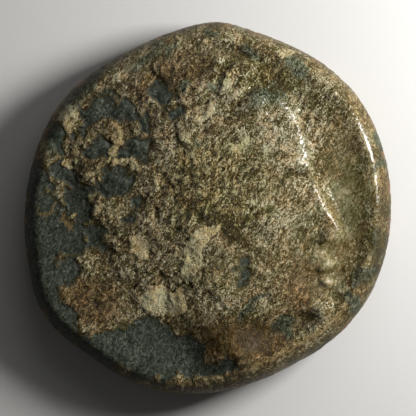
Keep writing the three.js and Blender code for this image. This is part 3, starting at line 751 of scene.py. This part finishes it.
def edgeRing(step, count, top, under):
    # the shoulders carry the lip's height out to the waist of the edge
    degrees = 360 * np.arange(count) / count
    turn = math.pi * step / shell["edgeRings"]
    outline = blankReach(degrees)
    bevel = blank["obverseBevel"] if turn <= math.pi / 2 else blank["reverseBevel"]
    c, s = np.cos(np.radians(degrees)), np.sin(np.radians(degrees))

    def heightAt(sheet, inset):
        return readSheet(sheet, (outline - inset) * c, (outline - inset) * s)

    reach = outline - bevel * (1 - math.sin(turn))
    low, high = heightAt(under, blank["reverseBevel"]), heightAt(top, blank["obverseBevel"])
    waist = mix(low, high, blank["waistShare"])
    skin = readSheet(top if turn <= math.pi / 2 else under, reach * c, reach * s)
    z = waist + (skin - waist) * abs(math.cos(turn))
    rough = blank["edgeRoughness"] * math.sin(turn) ** 2
    reach = reach + rough * mottle(1.1, 41, 4, outline * c + 40, outline * s + 3 * z)
    return np.column_stack([reach * c, reach * s, z])


def joinRings(inner, outer):
    # triangles between two closed rings of point numbers, both starting at angle 0
    n, m = len(outer), len(inner)
    ends = np.concatenate([np.arange(1, n + 1) / n, np.arange(1, m + 1) / m + 1e-9])
    isOuter = np.concatenate([np.ones(n, bool), np.zeros(m, bool)])[np.argsort(ends)]
    i = np.cumsum(isOuter) - isOuter
    j = np.cumsum(~isOuter) - ~isOuter
    third = np.where(isOuter, outer[(i + 1) % n], inner[(j + 1) % m])
    triangles = np.column_stack([inner[j % m], outer[i % n], third])
    real = (triangles[:, 1] != triangles[:, 2]) & (triangles[:, 0] != triangles[:, 2])
    return triangles[real]


def shapeCoin():
    struck = obverseHeights()
    print("obverse drawn")
    obverse, masks = weather(struck)
    under, underMasks = weatherUnder(reverseHeights())
    print("crust laid, reverse drawn")
    rings = [faceRing(k, shell["obverseRings"], blank["obverseBevel"], obverse)
             for k in range(shell["obverseRings"] + 1)]
    count = len(rings[-1])
    rings += [edgeRing(step, count, obverse, under) for step in range(1, shell["edgeRings"])]
    rings += [faceRing(k, shell["reverseRings"], blank["reverseBevel"], under)
              for k in range(shell["reverseRings"], -1, -1)]
    points = np.vstack(rings)
    starts = np.cumsum([0] + [len(ring) for ring in rings])
    numbers = [np.arange(a, b) for a, b in zip(starts[:-1], starts[1:])]
    triangles = np.vstack([joinRings(a, b) for a, b in zip(numbers[:-1], numbers[1:])])

    isTop = np.arange(len(points)) < starts[shell["obverseRings"] + shell["edgeRings"] // 2]
    blankMask = np.zeros(sheetX.shape)
    values = {}
    for name, mask in masks.items():
        top = readSheet(mask, points[:, 0], points[:, 1])
        bottom = readSheet(underMasks.get(name, blankMask), points[:, 0], points[:, 1])
        values[name] = np.where(isTop, top, bottom)

    # the outline's box is centred over the origin, as the frame's is
    degrees = np.arange(0, 360, 0.25)
    reach = blankReach(degrees)
    outlineX, outlineY = reach * np.cos(np.radians(degrees)), reach * np.sin(np.radians(degrees))
    points[:, 0] -= (outlineX.min() + outlineX.max()) / 2
    points[:, 1] -= (outlineY.min() + outlineY.max()) / 2

    mesh = bpy.data.meshes.new("struckCoin")
    mesh.from_pydata((points * millimetre).tolist(), [], triangles.tolist())
    for name, value in values.items():
        mesh.attributes.new(name, "FLOAT", "POINT").data.foreach_set("value", value.astype(np.float32))
    mesh.polygons.foreach_set("use_smooth", [True] * len(mesh.polygons))
    mesh.update()
    coin = bpy.data.objects.new("struckCoin", mesh)
    bpy.context.scene.collection.objects.link(coin)
    print("coin shaped:", len(triangles), "triangles")
    return coin


# Node trees as sums


class Wire:
    # an output of a node, used in plain expressions
    def __init__(self, tree, socket=None):
        self.tree = tree
        self.socket = socket

    def node(self, kind, settings=None, inputs=None, output=0):
        made = self.tree.nodes.new(kind)
        for name, value in (settings or {}).items():
            if name == "stops":
                ramp = made.color_ramp.elements
                while len(ramp) < len(value):
                    ramp.new(0.5)
                for element, (at, colour) in zip(ramp, value):
                    element.position = at
                    element.color = (*colour, 1)
            else:
                setattr(made, name, value)
        for name, value in (inputs or {}).items():
            if isinstance(value, Wire):
                self.tree.links.new(value.socket, made.inputs[name])
            else:
                made.inputs[name].default_value = value
        return Wire(self.tree, made.outputs[output]) if made.outputs else None

    def maths(self, operation, *others):
        return self.node("ShaderNodeMath", {"operation": operation}, dict(enumerate((self, *others))))

    def __add__(self, other):
        if isinstance(other, tuple):
            return self.node("ShaderNodeVectorMath", {"operation": "ADD"}, {0: self, 1: other})
        return self.maths("ADD", other)

    def __mul__(self, other):
        return self.maths("MULTIPLY", other)

    def __sub__(self, other):
        return self.maths("SUBTRACT", other)

    def __rsub__(self, other):
        return (self * -1) + other

    __radd__ = __add__
    __rmul__ = __mul__

    def between(self, low, high):
        # 0 below low, 1 above high
        settings = {"interpolation_type": "SMOOTHSTEP"}
        return self.node("ShaderNodeMapRange", settings, {"Value": self, "From Min": low, "From Max": high})

    def ramp(self, *stops):
        return self.node("ShaderNodeValToRGB", {"stops": stops}, {"Fac": self})

    def tint(self, other, share, mode="MIX"):
        # this colour mixed towards another
        settings = {"data_type": "RGBA", "blend_type": mode}
        value = other if isinstance(other, Wire) else (*other, 1)
        return self.node("ShaderNodeMix", settings, {0: share, 6: self, 7: value}, 2)

    def noise(self, size, detail, roughness, distortion=0.0):
        # noise over this place
        inputs = {"Scale": 1 / (size * millimetre), "Detail": detail, "Roughness": roughness,
                  "Distortion": distortion, "Vector": self}
        return self.node("ShaderNodeTexNoise", None, inputs)

    def stretched(self, times, degrees):
        # this place, so that a pattern on it runs longer in one direction
        inputs = {"Vector": self, "Rotation": (0, 0, math.radians(degrees)), "Scale": (times, 1, 1)}
        return self.node("ShaderNodeMapping", {"vector_type": "TEXTURE"}, inputs)

    def fibres(self, narrowness):
        # curved lines, 1 at their middle, where this noise passes through its mean
        return ((self - 0.5).maths("ABSOLUTE") * -narrowness + 1).maths("MAXIMUM", 0.0)


def newTree(material):
    material.use_nodes = True
    tree = material.node_tree
    tree.nodes.clear()
    return tree


# The finish

finish = {
    "crustStops": [(0.12, (0.03, 0.02, 0.002)), (0.34, (0.064, 0.047, 0.008)), (0.5, (0.125, 0.099, 0.038)),
                   (0.68, (0.26, 0.218, 0.125)), (0.9, (0.47, 0.435, 0.31))],
    "patinaStops": [(0.3, (0.01, 0.011, 0.006)), (0.45, (0.019, 0.024, 0.015)), (0.58, (0.036, 0.043, 0.028)),
                    (0.75, (0.11, 0.115, 0.085))],
    "tealStops": [(0.25, (0.01, 0.015, 0.007)), (0.5, (0.032, 0.047, 0.028)), (0.8, (0.11, 0.145, 0.095))],
    "goldStops": [(0.2, (0.06, 0.035, 0.01)), (0.5, (0.16, 0.108, 0.038)), (0.85, (0.34, 0.25, 0.11))],
    "tan": (1.0, 0.85, 0.67),
    "moss": (0.92, 0.93, 0.8),
    "brown": (0.68, 0.55, 0.43),
    "olive": (0.92, 0.91, 0.74),
    "grey": (0.71, 0.79, 0.78),
    # lighter and bluer: partly dust, partly a painted highlight
    "dust": (0.94, 0.97, 1.0),
    # partly the crust's darker colour, partly painted shade
    "dark": (0.93, 0.98, 0.8),
    "cream": (0.98, 0.96, 0.84),
    "copper": (0.2, 0.1, 0.042),
    "streakStretch": (2, 58),  # streaks are this many times longer, at this many degrees
    "speckSize": 0.1,
    "fineSize": 0.2,
    "fibreSize": 0.36,
    "streakSize": 0.42,
    "cloudSize": 1.3,
    "hueSize": 0.9,
    "bumpDepth": 0.28,
    "specular": 0.2,
    "coatRoughness": 0.24,
}


def patinatedBronze():
    material = bpy.data.materials.new("patinatedBronze")
    wire = Wire(newTree(material))
    place = wire.node("ShaderNodeTexCoord", output="Object")

    def mask(name):
        return wire.node("ShaderNodeAttribute", {"attribute_name": name}, output="Fac")

    along = place.stretched(*finish["streakStretch"])
    speck = place.noise(finish["speckSize"], 2, 0.65, 1.5)
    fine = along.noise(finish["fineSize"], 4, 0.7, 1.4)
    fibre = (along + (0.0, 0.04, 0.0)).noise(finish["fibreSize"], 3, 0.6, 1).fibres(9)
    streak = along.noise(finish["streakSize"], 5, 0.65, 1.2)
    cloud = place.noise(finish["cloudSize"], 4, 0.6)
    hue = (place + (0.03, 0.0, 0.0)).noise(finish["hueSize"], 4, 0.65, 0.5)
    patina = (mask("patina") + (fine - 0.5) * 0.9 + (speck - 0.5) * 0.5).between(0.47, 0.57)
    hollow, rough, grain, polish = mask("hollow"), mask("rough"), mask("grain"), mask("polish")

    pale = (mask("pale") + (fine - 0.5) * 1.2).between(0.25, 0.7)
    grainy = ((speck - 0.5) * 2.8 + (fine - 0.5) * 2.6 + (fibre - 0.35) * 0.22) * (rough * 0.85 + 0.2)
    grainy = grainy + (streak - 0.5) * (rough * 0.95 + 0.25)
    # darker in hollows and in the grain's pits and lighter on its tops: partly the crust's own colour, partly
    # painted shade
    tone = grainy * (pale * -0.2 + 1) + (cloud - 0.5) * 0.7 + grain * 0.12 - hollow * 0.16 + 0.42
    # the dark patches darken the crust, partly as painted shade
    # the dust patches lighten the crust, partly as a painted highlight
    tone = tone + pale * 0.46 + mask("dust") * 0.12 - mask("dark") * 0.36
    crustColour = tone.ramp(*finish["crustStops"])
    crustColour = crustColour.tint(finish["tan"], (hue + (streak - 0.5)).between(0.46, 0.66), "MULTIPLY")
    crustColour = crustColour.tint(finish["moss"], (hue + (streak - 0.5)).between(0.54, 0.34), "MULTIPLY")
    for name in ("brown", "olive", "grey", "dust", "dark"):
        share = (mask(name) + (cloud - 0.5)).between(0.1, 0.9)
        crustColour = crustColour.tint(finish[name], share, "MULTIPLY")
    crustColour = crustColour.tint(finish["cream"], pale, "MULTIPLY")
    # darker in hollows: partly the patina's own colour, partly painted shade
    patinaTone = (speck - 0.5) * 1.1 + (fine - 0.5) * 0.9 + streak * 0.4
    # the dark patches darken the patina too, partly as painted shade
    patinaTone = patinaTone - hollow * 0.1 - mask("dark") * 0.14 + 0.31
    patinaColour = patinaTone.ramp(*finish["patinaStops"])
    colour = crustColour.tint(patinaColour, patina)
    gold = (mask("gold") + (streak - 0.5) * 1.2 + (fine - 0.5) * 1.2).between(0.3, 0.8) * 0.75
    colour = colour.tint(tone.ramp(*finish["goldStops"]), gold)
    teal = (mask("teal") + (streak - 0.5) * 1.4 + grainy * 0.5).between(0.4, 0.8) * 0.72
    colour = colour.tint(tone.ramp(*finish["tealStops"]), teal)
    copper = (mask("copper") + (fine - 0.5) * 0.8).between(0.3, 0.8)
    colour = colour.tint(finish["copper"], copper * 0.55)

    shine = ((speck - 0.5) * 0.9 + (fine - 0.5) * 0.9 + 0.42) * (polish * -0.5 + 1)
    glint = ((speck - 0.5) * 1.2 + (fine - 0.5) * 1.2 + polish * 0.4).between(0.1, 0.4) * 0.9
    bumpHeight = (fine * 0.6 + speck * 0.35 + fibre * 0.12) * (rough * 0.85 + 0.15 + patina * 0.1)
    inputs = {"Strength": 1.0, "Distance": finish["bumpDepth"] * millimetre, "Height": bumpHeight}
    bump = wire.node("ShaderNodeBump", None, inputs)
    inputs = {"Base Color": colour, "Roughness": shine, "Metallic": copper * 0.3, "Normal": bump,
              "Specular IOR Level": finish["specular"], "Coat Weight": glint,
              "Coat Roughness": finish["coatRoughness"]}
    shader = wire.node("ShaderNodeBsdfPrincipled", None, inputs)
    wire.node("ShaderNodeOutputMaterial", None, {"Surface": shader})
    return material


# The grain of the corrosion, as real relief on the coin's skin

crumble = {"Grain Size": 0.25, "Grain Height": 0.055, "Pit Size": 0.45, "Pit Depth": 0.03, "Seed": 7.0}


def crumbleTree(material):
    tree = bpy.data.node_groups.new("crumble", "GeometryNodeTree")
    tree.interface.new_socket("Geometry", in_out="INPUT", socket_type="NodeSocketGeometry")
    tree.interface.new_socket("Geometry", in_out="OUTPUT", socket_type="NodeSocketGeometry")
    for name in crumble:
        tree.interface.new_socket(name, in_out="INPUT", socket_type="NodeSocketFloat")
    given = tree.nodes.new("NodeGroupInput")
    wire = Wire(tree)
    size = {name: Wire(tree, given.outputs[name]) for name in crumble}
    place = wire.node("GeometryNodeInputPosition")
    normal = wire.node("GeometryNodeInputNormal")
    rough = wire.node("GeometryNodeInputNamedAttribute", {"data_type": "FLOAT"}, {"Name": "rough"})

    def texture(size, seed, detail, distortion):
        scale = wire.node("ShaderNodeMath", {"operation": "DIVIDE"}, {0: 1 / millimetre, 1: size})
        inputs = {"Vector": place, "W": seed, "Scale": scale, "Detail": detail, "Roughness": 0.65,
                  "Distortion": distortion}
        return wire.node("ShaderNodeTexNoise", {"noise_dimensions": "4D"}, inputs)

    seed = size["Seed"]
    grain = (texture(size["Grain Size"], seed, 3.0, 0.6) - 0.5) * 3
    pit = (0.44 - texture(size["Pit Size"], seed + 5, 2.0, 1.0)).maths("MAXIMUM", 0.0) * 6
    push = (grain * size["Grain Height"] - pit * size["Pit Depth"]) * (rough * 0.94 + 0.06) * millimetre
    offset = wire.node("ShaderNodeVectorMath", {"operation": "SCALE"}, {0: normal, "Scale": push})
    # the grain's height is kept for the finish, which paints its pits darker, partly as painted shade
    inputs = {"Geometry": Wire(tree, given.outputs[0]), "Name": "grain", "Value": grain - pit}
    stored = wire.node("GeometryNodeStoreNamedAttribute", {"data_type": "FLOAT", "domain": "POINT"}, inputs)
    moved = wire.node("GeometryNodeSetPosition", None, {"Geometry": stored, "Offset": offset})
    real = wire.node("GeometryNodeRealizeInstances", None, {"Geometry": moved})
    finished = wire.node("GeometryNodeSetMaterial", None, {"Geometry": real, "Material": material})
    wire.node("NodeGroupOutput", None, {"Geometry": finished})
    return tree


def applyTree(piece, tree, sizes):
    modifier = piece.modifiers.new(tree.name, "NODES")
    modifier.node_group = tree
    for item in tree.interface.items_tree:
        if item.in_out == "INPUT" and item.name in sizes:
            modifier[item.identifier] = sizes[item.name]
    seen = piece.evaluated_get(bpy.context.evaluated_depsgraph_get())
    mesh = bpy.data.meshes.new_from_object(seen)
    piece.modifiers.remove(modifier)
    piece.data = mesh


def restOnTable(piece):
    # the worn underside ends flat on the plane that the coin lies on
    places = np.empty(3 * len(piece.data.vertices))
    piece.data.vertices.foreach_get("co", places)
    places[2::3] = np.maximum(places[2::3], 0)
    piece.data.vertices.foreach_set("co", places)
    piece.data.update()


coin = shapeCoin()
bronze = patinatedBronze()
applyTree(coin, crumbleTree(bronze), crumble)
restOnTable(coin)
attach(coin, "root")
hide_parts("coin")
print("coin finished")


# The studio

studio = {
    "floorColour": (0.5, 0.49, 0.47),
    "floorRoughness": 0.9,
    "floorReach": 2000,
    "cameraHeight": 240,
    "frameWidth": 19.7,
    "aim": (0.0, 0.0),
    "keyPower": 0.06,
    "keyAt": (42, 17, 30),
    "keySize": 20,
    "fillPower": 0.04,
    "fillAt": (40, 110, 90),
    "fillSize": 120,
    "world": 0.06,
}


def softLight(name, at, size, power):
    light = bpy.data.lights.new(name, "AREA")
    light.size = size * millimetre
    light.energy = power
    lamp = bpy.data.objects.new(name, light)
    lamp.location = [value * millimetre for value in at]
    lamp.rotation_euler = lamp.location.to_track_quat("Z", "Y").to_euler()
    bpy.context.scene.collection.objects.link(lamp)


def setStudio():
    mesh = bpy.data.meshes.new("floor")
    reach = studio["floorReach"] * millimetre
    corners = [(-reach, -reach, 0), (reach, -reach, 0), (reach, reach, 0), (-reach, reach, 0)]
    mesh.from_pydata(corners, [], [(0, 1, 2, 3)])
    floor = bpy.data.objects.new("floor", mesh)
    bpy.context.scene.collection.objects.link(floor)
    paper = bpy.data.materials.new("palePaper")
    wire = Wire(newTree(paper))
    inputs = {"Base Color": (*studio["floorColour"], 1), "Roughness": studio["floorRoughness"]}
    shader = wire.node("ShaderNodeBsdfPrincipled", None, inputs)
    wire.node("ShaderNodeOutputMaterial", None, {"Surface": shader})
    mesh.materials.append(paper)

    softLight("key", studio["keyAt"], studio["keySize"], studio["keyPower"])
    softLight("fill", studio["fillAt"], studio["fillSize"], studio["fillPower"])
    world = bpy.data.worlds.new("studio")
    world.use_nodes = True
    level = studio["world"]
    world.node_tree.nodes["Background"].inputs["Color"].default_value = (level, level, level, 1)
    bpy.context.scene.world = world

    view = bpy.data.cameras.new("camera")
    middle = blank["reverseRecess"] + blank["bodyThickness"]
    view.lens = view.sensor_width * (studio["cameraHeight"] - middle) / studio["frameWidth"]
    view.clip_start = 0.01
    camera = bpy.data.objects.new("camera", view)
    camera.location = [value * millimetre for value in (*studio["aim"], studio["cameraHeight"])]
    bpy.context.scene.collection.objects.link(camera)
    bpy.context.scene.camera = camera
    bpy.context.scene.view_settings.view_transform = "Standard"


setStudio()
print("studio set")
